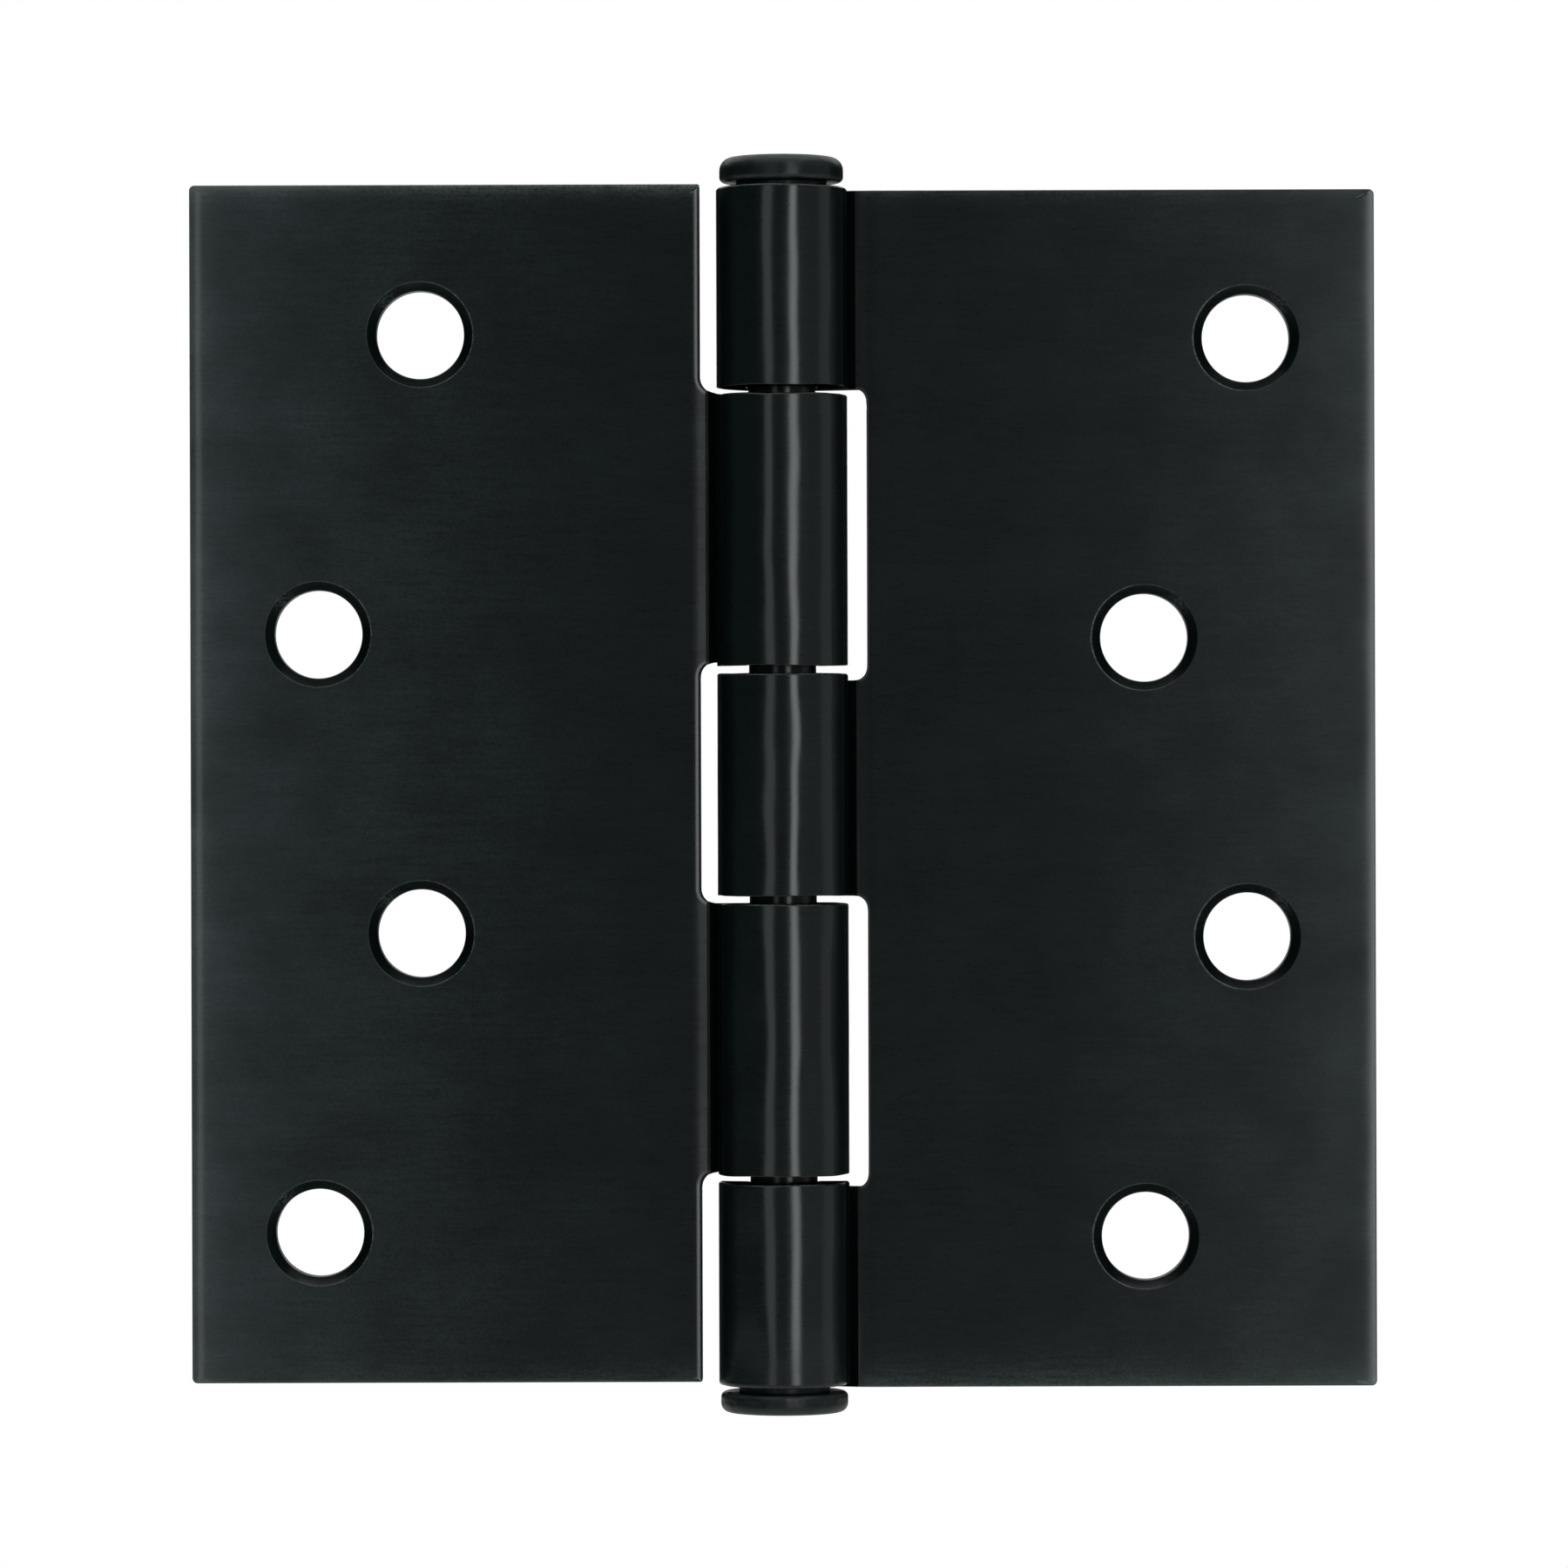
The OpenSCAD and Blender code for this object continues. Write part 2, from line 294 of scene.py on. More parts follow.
class Roll:
    """The run of the sheet's middle line from the flat leaf.

    A shallow droop, the set bend and a straight neck lead into the roll about the pin axis.
    Each point of the run has its place, and the direction through the sheet towards its back face.
    """

    def __init__(self, sizes):
        middle = sizes.barrel - sizes.sheet / 2
        self.start = sizes.bend_start
        self.points = [(Vector((self.start, sizes.face_height + sizes.sheet / 2)), Vector((0, 1)))]
        self.set_bend(sizes.ease_radius, 0.0, sizes.ease_angle)
        self.go_straight(sizes.ease_run)

        # the neck is the line that the bend and the roll both touch
        place, away = self.points[-1]
        centre = place + away * sizes.bend_radius
        reach = middle + sizes.bend_radius
        lean = math.atan2(centre.y, centre.x) + math.acos(reach / centre.length)
        self.set_bend(sizes.bend_radius, sizes.ease_angle, math.pi / 2 - lean)
        self.go_straight(math.sqrt(centre.length_squared - reach ** 2))

        roll_first = len(self.points) - 1
        steps = round((sizes.roll_end - lean) / math.radians(2))
        for step in range(1, steps + 1):
            turn = lean + (sizes.roll_end - lean) * step / steps
            away = Vector((math.cos(turn), math.sin(turn)))
            self.points.append((away * middle, away))
        self.lengths = [0.0]
        for (before, _), (after, _) in zip(self.points, self.points[1:]):
            self.lengths.append(self.lengths[-1] + (after - before).length)
        self.end = self.start - self.lengths[-1]
        self.skew_from = self.lengths[roll_first]
        self.skew_to = self.skew_from + middle * (math.pi - lean)

    def set_bend(self, radius, first, last):
        place, away = self.points[-1]
        centre = place + away * radius
        steps = max(3, round((last - first) / math.radians(1.5)))
        for step in range(1, steps + 1):
            tilt = first + (last - first) * step / steps
            away = Vector((math.sin(tilt), math.cos(tilt)))
            self.points.append((centre - away * radius, away))

    def go_straight(self, length):
        place, away = self.points[-1]
        self.points.append((place + Vector((-away.y, away.x)) * length, away))

    def profile(self):
        """The run as a mesh line that carries the direction through the sheet."""
        mesh = bpy.data.meshes.new("roll_profile")
        count = len(self.points)
        places = [(place.x, place.y, 0.0) for place, _ in self.points]
        mesh.from_pydata(places, [(i, i + 1) for i in range(count - 1)], [])
        away = mesh.attributes.new("away", "FLOAT_VECTOR", "POINT")
        for item, (_, direction) in zip(away.data, self.points):
            item.vector = (direction.x, direction.y, 0.0)
        return link_object("roll_profile", mesh)


def blank_outline(plan, end):
    """Corners of the flat blank, anticlockwise seen from the back.

    The shares say how much of the usual edge rounding each side of the outline gets.
    """
    free_share, top_share, low_share = 1.9, 0.9, 0.3
    tongue_share, top_rim_share, low_rim_share = 0.4, 0.6, 0.15
    outer, small = 0.45 * MM, 0.2 * MM
    first_radius, other_radius = plan.corners
    has_end_knuckles = plan.leaf == FRAME_LEAF
    notch_share = 0.4 if has_end_knuckles else 1.0
    corners = [
        Corner(end if has_end_knuckles else plan.notch, plan.low, small, low_share, 0.7),
        Corner(plan.reach, plan.low, outer, free_share, 0.5, slope=0.25 if has_end_knuckles else 1.0),
        Corner(plan.reach, plan.high, outer, top_share, 0.7),
    ]
    if not has_end_knuckles:
        corners.append(Corner(plan.notch, plan.high, small, notch_share, 0.5))
    for number, (low, high) in enumerate(plan.tongues):
        if number or not has_end_knuckles:
            radius = first_radius if number == 0 else other_radius
            corners.append(Corner(plan.notch, high, radius, tongue_share, top_rim_share))
        corners.append(Corner(end, high, small, tongue_share, 0.6))
        corners.append(Corner(end, low, small, tongue_share, low_rim_share))
        last = number == len(plan.tongues) - 1
        if not (last and has_end_knuckles):
            corners.append(Corner(plan.notch, low, other_radius, notch_share, 0.5))
    return corners[:-1] if has_end_knuckles else corners


def edge_stations(sizes):
    """Stations round the cut edge, from the flat back to the flat face: side, inset, drop, and the values for the
    wear_and_highlight and shear attributes.
    """
    hold = 0.06 * MM
    radius, nose, width = sizes.back_round, sizes.nose, sizes.die_roll
    stations = [(BACK, radius + 3 * hold, 0.0, 0.0, 0.0)]
    for tilt in (0, 18, 36, 54, 72, 90):
        a = math.radians(tilt)
        stations.append((BACK, radius * (1 - math.sin(a)), radius * (1 - math.cos(a)), math.sin(2 * a), 0.0))
    stations.append((BACK, 0.0, radius + hold, 0.0, 1.0))
    droop = width * math.tan(sizes.die_angle) / 3
    slope_in = nose * (1 - math.sin(sizes.die_angle))
    slope_drop = droop + nose * math.cos(sizes.die_angle)
    stations.append((FRONT, 0.0, slope_drop + hold, 0.0, 1.0))
    for tilt in (90, 70, 52, 36):
        a = math.radians(tilt)
        stations.append((FRONT, nose * (1 - math.sin(a)), slope_drop - nose * math.cos(a), math.sin(2 * a), 0.0))
    for share in (0, 0.08, 0.17, 0.27, 0.38, 0.5, 0.64, 0.8, 1):
        stations.append((FRONT, slope_in + width * share, droop * (1 - share) ** 3, 0.0, 0.0))
    return stations


POINTS_APART = 3 * MM      # along a straight run
CORNER_POINT = 0.25 * MM   # from a corner to the first of them


def outline_ring(corners, side, inset, arc_steps):
    """Points of the outline moved inwards, and how deep the edge rounding goes at each."""
    arcs = []
    count = len(corners)
    for i, corner in enumerate(corners):
        before, after = corners[i - 1], corners[(i + 1) % count]
        come = Vector((corner.u - before.u, corner.z - before.z)).normalized()
        go = Vector((after.u - corner.u, after.z - corner.z)).normalized()
        in_come, in_go = Vector((-come.y, come.x)), Vector((-go.y, go.x))
        (wide_come, deep_come), (wide_go, deep_go) = before.shares(side), corner.shares(side)
        turn = 1 if come.cross(go) > 0 else -1
        place = Vector((corner.u, corner.z)) + in_come * inset * wide_come + in_go * inset * wide_go
        radius = max(corner.radius - turn * inset * (wide_come + wide_go) / 2, 0.0)
        centre = place + turn * radius * (in_come + in_go)
        arc = []
        for step in range(arc_steps + 1):
            share = step / arc_steps
            a = math.pi / 2 * share
            point = centre - turn * radius * (in_come * math.cos(a) + in_go * math.sin(a))
            arc.append((point.x, point.y, deep_come + (deep_go - deep_come) * share))
        arcs.append(arc)
    points = []
    for i, (corner, arc) in enumerate(zip(corners, arcs)):
        after = corners[(i + 1) % count]
        points += arc
        # points along the straight run keep its shading even: one close to each corner, the rest apart
        run = math.hypot(after.u - corner.u, after.z - corner.z)
        parts = max(1, round(run / POINTS_APART))
        close = CORNER_POINT / run
        (u, z, deep), (to_u, to_z, _) = arc[-1], arcs[(i + 1) % count][0]
        for part in range(parts + 1):
            t = close + (1 - 2 * close) * part / parts
            points.append((u + (to_u - u) * t, z + (to_z - z) * t, deep))
    return points


def hole_stations(plan, sizes, lip, lip_highlight, cone_glint):
    """Stations down a screw hole, from the flat back to the flat face: radius, sheet height, and the values for the
    wear_and_highlight and shear attributes.
    """
    half, hole, rim = sizes.sheet / 2, plan.hole, sizes.sink_rim
    hold, back = 0.05 * MM, 0.12 * MM
    stations = [(hole + back + 2 * hold, half, 0.0, 0.0)]
    for tilt in (0, 30, 60, 90):
        a = math.radians(tilt)
        stations.append((hole + back * (1 - math.sin(a)), half - back * (1 - math.cos(a)), 0.5, 0.0))
    bottom = -half + sizes.sink_depth
    slope = (rim - hole) / sizes.sink_depth
    stations += [
        (hole, half - back - hold, 0.0, 1.0),
        (hole, bottom + 2 * hold, 0.0, 1.0),
        (hole, bottom + hold, 0.2, 0.3),
    ]
    stations.append((hole + hold * slope * 0.6, bottom - hold * 0.6, 0.2, 0.3))
    stations.append((hole + 2 * hold * slope, bottom - 2 * hold, cone_glint, 0.3))
    tilt_cone = math.atan2(1, slope)
    run = lip * math.tan(tilt_cone / 2)
    centre_r, centre_w = rim + run, -half + lip
    cone_r, cone_w = centre_r - lip * math.sin(tilt_cone), centre_w - lip * math.cos(tilt_cone)
    stations.append((cone_r - hold * math.cos(tilt_cone), cone_w + hold * math.sin(tilt_cone), cone_glint, 0.3))
    for share in (1, 0.75, 0.5, 0.35, 0.2, 0.1, 0):
        a = tilt_cone * share
        worn_and_lit = lip_highlight * math.sin(math.pi * min(1, share * 1.2))
        stations.append((centre_r - lip * math.sin(a), centre_w - lip * math.cos(a), worn_and_lit, 0.3 * share ** 3))
    stations.append((centre_r + 3 * hold, -half, 0.0, 0.0))
    return stations


# the last stretch of the roll, which is duller and is set to the darkest coat as painted shade, and the length over
# which it gets so
DULL_SHADED_END, DULL_SHADED_FADE = 2.6 * MM, 0.75 * MM


def blank_mesh(plan, sizes):
    """The cut and countersunk blank, still flat: X along the sheet, Y through it and Z up."""
    arc_steps, hole_steps = 7, 96
    bm = bmesh.new()
    wear_and_highlight = bm.verts.layers.float.new("wear_and_highlight")
    shear = bm.verts.layers.float.new("shear")
    roll = Roll(sizes)
    corners = blank_outline(plan, roll.end)

    def ring(points):
        made = []
        for u, w, z, worn_and_lit, cut_and_shaded in points:
            vert = bm.verts.new((u, w, z))
            vert[wear_and_highlight], vert[shear] = worn_and_lit, cut_and_shaded
            made.append(vert)
        return made

    def wall(rings):
        for one, two in zip(rings, rings[1:]):
            for i in range(len(one)):
                j = (i + 1) % len(one)
                bm.faces.new((one[i], one[j], two[j], two[i]))

    rings = []
    for side, inset, drop, worn_and_lit, cut_and_shaded in edge_stations(sizes):
        flat = outline_ring(corners, side, inset, arc_steps)
        rings.append(ring([(u, side * (sizes.sheet / 2 - drop * deep), z, worn_and_lit, cut_and_shaded) for u, z, deep in flat]))
    wall(rings)
    glint_at, glint_width = math.pi / 4, 0.22
    for u, z in plan.holes:
        # the lip is rounder on the side of the barrel; painted highlight brightens the lip on that side, and a painted
        # reflection brightens one spot at the same clock position in every hole
        turns = [math.tau * i / hole_steps for i in range(hole_steps)]
        facing = [0.5 - 0.5 * math.cos(a) for a in turns]
        patch = [math.exp(-((a - glint_at) / glint_width) ** 2) for a in turns]
        paths = [
            hole_stations(plan, sizes, sizes.sink_lip * (0.25 + 0.75 * share), 3 * max(share, wear_and_glint), 1.5 * wear_and_glint)
            for share, wear_and_glint in zip(facing, patch)
        ]
        hole_rings = []
        for stations in zip(*paths):
            hole_rings.append(ring([
                (u + r * math.cos(a), w, z + r * math.sin(a), worn_and_lit, cut_and_shaded)
                for a, (r, w, worn_and_lit, cut_and_shaded) in zip(turns, stations)
            ]))
        wall(hole_rings)
    bmesh.ops.remove_doubles(bm, verts=bm.verts, dist=SAME)
    bmesh.ops.dissolve_degenerate(bm, edges=bm.edges, dist=1e-8)
    for side in (BACK, FRONT):
        rim = [e for e in bm.edges if e.is_boundary and e.verts[0].co.y * side > 0]
        bmesh.ops.triangle_fill(bm, use_beauty=True, use_dissolve=False, edges=rim, normal=(0, side, 0))

    def slice_at(faces, axis, level):
        """Cuts these faces at one level of an axis, and returns them with the new ones."""
        near = []
        for face in faces:
            places = [v.co[axis] for v in face.verts]
            if min(places) < level - SAME and max(places) > level + SAME:
                near.append(face)
        parts = {*near, *(e for f in near for e in f.edges), *(v for f in near for v in f.verts)}
        plane_co, plane_no = [0, 0, 0], [0, 0, 0]
        plane_co[axis], plane_no[axis] = level, 1
        done = bmesh.ops.bisect_plane(bm, geom=list(parts), dist=SAME, plane_co=plane_co, plane_no=plane_no)
        return list(dict.fromkeys(faces + [f for f in done["geom"] if isinstance(f, bmesh.types.BMFace)]))

    # cuts across the sheet, so that it bends and rolls in small steps
    rest = list(bm.faces)
    for number, length in enumerate(roll.lengths[:-1]):
        level = roll.start - length
        rest = [f for f in rest if f.is_valid and min(v.co.x for v in f.verts) < level - SAME]
        rest = slice_at(rest, 0, level)
        if number == 0:
            # and level cuts beside the tongues, where the bend dies out
            notched = [f for f in rest if f.is_valid and max(v.co.x for v in f.verts) < level + NEAR]
            for height in (z for tongue in plan.tongues for z in tongue):
                near = [f for f in notched if f.is_valid and min(abs(v.co.z - height) for v in f.verts) < 20 * MM]
                for away in (-6, -4, -2, 0, 2, 4, 6):
                    near = slice_at([f for f in near if f.is_valid], 2, height + away * BEND_FADE / 6)
                notched = list(dict.fromkeys(notched + near))
            rest = list(dict.fromkeys(rest + notched))

    lift = bm.verts.layers.float.new("lift")
    formed = bm.verts.layers.float.new("set")
    for vert in bm.verts:
        vert[lift] = plan.lift(vert.co.z)
        vert[formed] = plan.set_share(vert.co.z)
        # the last of the roll is duller, and its film is set to the darkest coat as painted shade
        late = (DULL_SHADED_END - (vert.co.x - roll.end)) / DULL_SHADED_FADE
        vert[shear] = max(vert[shear], 0.5 * min(max(late, 0.0), 1.0))
    bmesh.ops.recalc_face_normals(bm, faces=bm.faces)
    mesh = bpy.data.meshes.new(plan.leaf + "_blank")
    bm.to_mesh(mesh)
    bm.free()
    return mesh


RIM_WAVES = 210.0          # waves to the metre along a wandering rim, so about 5 mm each
# painted shade: the dead black film goes in the nook and on the knuckle ends
NOOK_FROM = 5.2 * MM       # the nook lies farther out than this, just inside the barrel's radius
NOOK_DEPTH = 1.5 * MM      # and no farther back than this
ENDS_REACH = 6.9 * MM      # sheared ends nearer to the axis than this are knuckle ends
SHEARED = 0.9              # a cut face, not one that only borders on it


def roll_tree():
    """Geometry nodes that set the flat blank's bend and roll its tongues into knuckles."""
    tree = bpy.data.node_groups.new("Roll the knuckles", "GeometryNodeTree")
    tree.is_modifier = True
    tree.interface.new_socket("Geometry", in_out="INPUT", socket_type="NodeSocketGeometry")
    tree.interface.new_socket("Profile", in_out="INPUT", socket_type="NodeSocketObject")
    for name in ("Bend start", "Skew from", "Skew to", "Rim wave", "Nook", "Side"):
        tree.interface.new_socket(name, in_out="INPUT", socket_type="NodeSocketFloat")
    for name in ("Finish", "Shade finish"):
        tree.interface.new_socket(name, in_out="INPUT", socket_type="NodeSocketMaterial")
    tree.interface.new_socket("Geometry", in_out="OUTPUT", socket_type="NodeSocketGeometry")
    given = tree.nodes.new("NodeGroupInput").outputs

    calc = math_nodes(tree)

    def attribute(name, kind="FLOAT"):
        return add_node(tree, "GeometryNodeInputNamedAttribute", {"Name": name}, data_type=kind).outputs[0]

    def sample_curve(inputs, **settings):
        return add_node(tree, "GeometryNodeSampleCurve", inputs, mode="LENGTH", use_all_curves=True, **settings).outputs

    def dress_faces(geometry, material, **inputs):
        inputs = {"Geometry": geometry, "Material": material, **inputs}
        return add_node(tree, "GeometryNodeSetMaterial", inputs).outputs[0]

    # each point goes to its place on the profile, and out from it by its height in the sheet
    place = add_node(tree, "GeometryNodeInputPosition").outputs[0]
    along, through, up = separate(tree, place)
    inwards = calc("SUBTRACT", given["Bend start"], along)
    line = add_node(tree, "GeometryNodeObjectInfo", {"Object": given["Profile"]}).outputs["Geometry"]
    curve = add_node(tree, "GeometryNodeMeshToCurve", {"Mesh": line}).outputs[0]
    inputs = {"Curves": curve, "Value": attribute("away", "FLOAT_VECTOR"), "Length": calc("MAXIMUM", inwards, 0.0)}
    sample = sample_curve(inputs, data_type="FLOAT_VECTOR")
    out = add_node(tree, "ShaderNodeVectorMath", {0: sample["Value"], "Scale": through}, operation="SCALE").outputs[0]
    bent = add_node(tree, "ShaderNodeVectorMath", {0: sample["Position"], 1: out}).outputs[0]
    bent_x, bent_y, _ = separate(tree, bent)
    bent_x = calc("SUBTRACT", bent_x, calc("MINIMUM", inwards, 0.0))

    # between the tongues the sheet stays flat
    height = separate(tree, sample_curve({"Curves": curve, "Length": 0.0})["Position"])[1]
    formed = attribute("set")
    x = mix_values(tree, formed, along, bent_x)
    y = mix_values(tree, formed, calc("ADD", height, through), bent_y)

    # the roll runs a little askew, so the knuckles stand off their tongues, and their rims wander
    skew = ramp(tree, inwards, given["Skew from"], given["Skew to"], interpolation_type="SMOOTHSTEP")
    noise = noise_at(tree, place, RIM_WAVES)
    wave = calc("MULTIPLY", calc("MULTIPLY_ADD", noise, 4.0, -2.0), given["Rim wave"])
    z = calc("ADD", up, calc("MULTIPLY", calc("ADD", attribute("lift"), wave), skew))

    at = add_node(tree, "ShaderNodeCombineXYZ", {0: calc("MULTIPLY", x, given["Side"]), 1: y, 2: z}).outputs[0]
    moved = add_node(tree, "GeometryNodeSetPosition", {"Geometry": given["Geometry"], "Position": at}).outputs[0]
    mirrored = calc("LESS_THAN", given["Side"], 0.0)
    faces = add_node(tree, "GeometryNodeFlipFaces", {"Mesh": moved, "Selection": mirrored}).outputs[0]
    real = add_node(tree, "GeometryNodeRealizeInstances", {"Geometry": faces}).outputs[0]
    # painted shade: the cut knuckle ends and the nook beside the knuckles get the dead black film, where shade falls
    rolled_x, rolled_y, _ = separate(tree, add_node(tree, "GeometryNodeInputPosition").outputs[0])
    away = calc("ABSOLUTE", rolled_x)
    beyond = calc("GREATER_THAN", calc("MULTIPLY", rolled_x, given["Side"]), NOOK_FROM)
    nook = calc("MULTIPLY", beyond, calc("LESS_THAN", away, given["Nook"]))
    nook = calc("MULTIPLY", nook, calc("LESS_THAN", rolled_y, NOOK_DEPTH))
    ends = calc("MULTIPLY", calc("GREATER_THAN", attribute("shear"), SHEARED), calc("LESS_THAN", away, ENDS_REACH))
    dressed = dress_faces(real, given["Finish"])
    dressed = dress_faces(dressed, given["Shade finish"], Selection=calc("MAXIMUM", nook, ends))
    add_node(tree, "NodeGroupOutput", {"Geometry": dressed})
    return tree


def rolled_leaf(plan, sizes, tree, material, shade_material):
    """A leaf rolled from its blank by the node tree, as a plain mesh."""
    roll = Roll(sizes)
    profile = roll.profile()
    blank = link_object(plan.leaf + "_blank", blank_mesh(plan, sizes))
    modifier = blank.modifiers.new("Roll", "NODES")
    modifier.node_group = tree
    sockets = {s.name: s.identifier for s in tree.interface.items_tree if s.in_out == "INPUT"}
    values = {
        "Profile": profile,
        "Bend start": roll.start,
        "Skew from": roll.skew_from,
        "Skew to": roll.skew_to,
        "Rim wave": sizes.rim_wave,
        "Side": float(plan.side),
        "Nook": sizes.nook,
        "Finish": material,
        "Shade finish": shade_material,
    }
    for name, value in values.items():
        modifier[sockets[name]] = value
    bpy.context.view_layer.update()
    evaluated = blank.evaluated_get(bpy.context.evaluated_depsgraph_get())
    mesh = bpy.data.meshes.new_from_object(evaluated)
    mesh.name = plan.leaf + "_sheet"
    blank.modifiers.remove(modifier)
    bpy.data.objects.remove(blank)
    bpy.data.objects.remove(profile)
    finish_mesh(mesh)
    return link_object(plan.leaf + "_sheet", mesh)


class HINGE_OT_make_leaves(bpy.types.Operator):
    """Cut, countersink and roll the two leaves"""

    bl_idname = "hinge.make_leaves"
    bl_label = "Make leaves"

    def execute(self, context):
        sizes = context.scene.hinge_leaf_sizes
        tree = roll_tree()
        material = named_material(SHEET_STEEL, coated_sheet_steel)
        shade_material = named_material(SHADE_FILM, painted_shade_film)
        bodies = {FRAME_LEAF: "frame_side", DOOR_LEAF: "door_side"}
        for plan in PLANS:
            piece = rolled_leaf(plan, sizes, tree, material, shade_material)
            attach(piece, bodies[plan.leaf])
            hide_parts(plan.leaf)
        return {"FINISHED"}


# ---------------------------------------------------------------- pin and tip

TOP_RIM = PLANS[0].knuckles[0][1]
SEAT_PLAY = 0.03 * MM      # between the top knuckle and the shoulder under the head
SHANK_REACH = 3.05 * MM    # faces nearer to the axis than this, within the barrel's height, are shank


def rounded_path(corners, closed=False):
    """A section's points (radius, height, wear), with each corner (radius, height, round) turned into an arc."""
    hold, path = 0.06 * MM, []
    count = len(corners)
    for i, (r, z, radius) in enumerate(corners):
        here = Vector((r, z))
        if radius == 0 or (not closed and i in (0, count - 1)):
            path.append((r, z, 0.0))
            continue
        before, after = Vector(corners[i - 1][:2]), Vector(corners[(i + 1) % count][:2])
        a, b = (before - here).normalized(), (after - here).normalized()
        half = a.angle(b) / 2
        reach = radius / math.tan(half)
        centre = here + (a + b).normalized() * radius / math.sin(half)
        start, stop = here + a * reach - centre, here + b * reach - centre
        steps = max(3, round(math.degrees(math.pi - 2 * half) / 12))
        path.append((*(here + a * (reach + hold)), 0.0))
        for step in range(steps + 1):
            share = step / steps
            arm = start.slerp(stop, share).normalized() * radius
            path.append((*(centre + arm), math.sin(math.pi * share)))
        path.append((*(here + b * (reach + hold)), 0.0))
    return path


def lathe(name, path, closed=False, steps=180):
    """A solid turned about the pin axis from its section."""
    bm = bmesh.new()
    wear_and_highlight = bm.verts.layers.float.new("wear_and_highlight")
    rings = []
    for r, z, worn_and_lit in path:
        if r < 1e-9:
            ring = [bm.verts.new((0, 0, z))] * steps
        else:
            turns = (math.tau * i / steps for i in range(steps))
            ring = [bm.verts.new((r * math.cos(a), r * math.sin(a), z)) for a in turns]
        for vert in ring:
            vert[wear_and_highlight] = worn_and_lit
        rings.append(ring)
    for one, two in zip(rings, rings[1:] + rings[:1] if closed else rings[1:]):
        for i in range(steps):
            j = (i + 1) % steps
            corners = list(dict.fromkeys((one[i], one[j], two[j], two[i])))
            bm.faces.new(corners)
    mesh = bpy.data.meshes.new(name)
    bm.to_mesh(mesh)
    bm.free()
    finish_mesh(mesh)
    return mesh


def dress(name, mesh, body, node):
    """A turned piece in its two finishes, in place of its node; the shank's finish is a darker copy, painted shade for
    the gaps between the knuckles.
    """
    mesh.materials.append(named_material(TURNED_STEEL, coated_turned_steel))
    mesh.materials.append(named_material(SHADED_SHANK_STEEL, burnished_shaded_shank))
    for face in mesh.polygons:
        across = math.hypot(*face.center[:2])
        face.material_index = int(across < SHANK_REACH and -HALF_BARREL < face.center.z < TOP_RIM)
    piece = link_object(name, mesh)
    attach(piece, body)
    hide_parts(node)


class HINGE_OT_make_pin(bpy.types.Operator):
    """Turn the lift-out pin with its button head"""

    bl_idname = "hinge.make_pin"
    bl_label = "Make pin"

    def execute(self, context):
        s = context.scene.hinge_pin_sizes
        low, high = PIN_BOX
        head = high.x
        under = high.z - s.head_height
        seat = TOP_RIM + SEAT_PLAY
        taper, taper_run, edge = 1 * MM, 1.6 * MM, 0.1 * MM
        dome = 120 * MM    # twice the radius of the head's crown

        def crown(share):
            return share * (head - 0.5 * s.head_round), high.z - (share * head) ** 2 / dome, 0

        corners = [
            (0, low.z, 0),
            (s.pin - taper, low.z, 0.2 * MM),
            (s.pin, low.z + taper_run, 0.5 * MM),
            (s.pin, seat, edge),
            (s.shoulder, seat, edge),
            (s.shoulder, under, edge),
            (head, under, s.small_round),
            (head, high.z - head ** 2 / dome, s.head_round),
            *(crown(share) for share in (0.6, 0.3, 0)),
        ]
        dress("pin_with_head", lathe("pin_with_head", rounded_path(corners)), "pin", HINGE_PIN)
        return {"FINISHED"}


class HINGE_OT_make_tip(bpy.types.Operator):
    """Turn the button tip that is pressed into the lowest knuckle"""

    bl_idname = "hinge.make_tip"
    bl_label = "Make tip"

    def execute(self, context):
        s = context.scene.hinge_pin_sizes
        low, high = TIP_BOX
        tip, over = high.x, low.z + s.tip_height
        edge = 0.15 * MM
        corners = [
            (s.drive_hole, low.z, edge),
            (tip, low.z, s.tip_round),
            (tip, over, s.small_round),
            (s.shoulder, over, 0.1 * MM),
            (s.shoulder, -HALF_BARREL, edge),
            (s.shank, -HALF_BARREL, 0.05 * MM),
            (s.shank, high.z, 0.4 * MM),
            (s.drive_hole, high.z, edge),
        ]
        mesh = lathe("button_tip", rounded_path(corners, closed=True), closed=True)
        dress("button_tip", mesh, "frame_side", BOTTOM_TIP)
        return {"FINISHED"}


# ---------------------------------------------------------------- finishes

SHEET_STEEL = "Satin black lacquered sheet steel, brushed"
TURNED_STEEL = "Satin black lacquered steel, turned"
# painted shade: the shank's darker copy of the lacquer, for the gaps between the knuckles
SHADED_SHANK_STEEL = "Black lacquered steel shank, burnished, painted shade"
# painted shade: the dead black film for the nooks and the knuckle ends
SHADE_FILM = "Dead black film, painted shade"


def lacquer(tree, colour, roughness, normal, gloss=0.39):
    """A satin lacquer: most of its gloss is sharp, and a part is spread wider."""
    shader = add_node(tree, "ShaderNodeBsdfPrincipled", {
        "Base Color": colour,
        "Roughness": roughness,
        "Normal": normal,
        "Metallic": 0.0,
        "IOR": 1.5,
        "Specular IOR Level": gloss,
        "Specular Tint": (0.94, 1.0, 1.0, 1.0),
        "Coat Weight": 0.22,
        "Coat Roughness": 0.28,
        "Coat IOR": 1.5,
        "Coat Normal": normal,
    })
    add_node(tree, "ShaderNodeOutputMaterial", {"Surface": shader.outputs[0]})


def object_place(tree):
    return add_node(tree, "ShaderNodeTexCoord").outputs["Object"]


def carried(tree, name):
    """The value that the mesh carries under this name."""
    return add_node(tree, "ShaderNodeAttribute", attribute_name=name).outputs["Fac"]


def bump_of(tree, height, strength, distance, **inputs):
    inputs = {"Height": height, "Strength": strength, "Distance": distance, **inputs}
    return add_node(tree, "ShaderNodeBump", inputs).outputs[0]


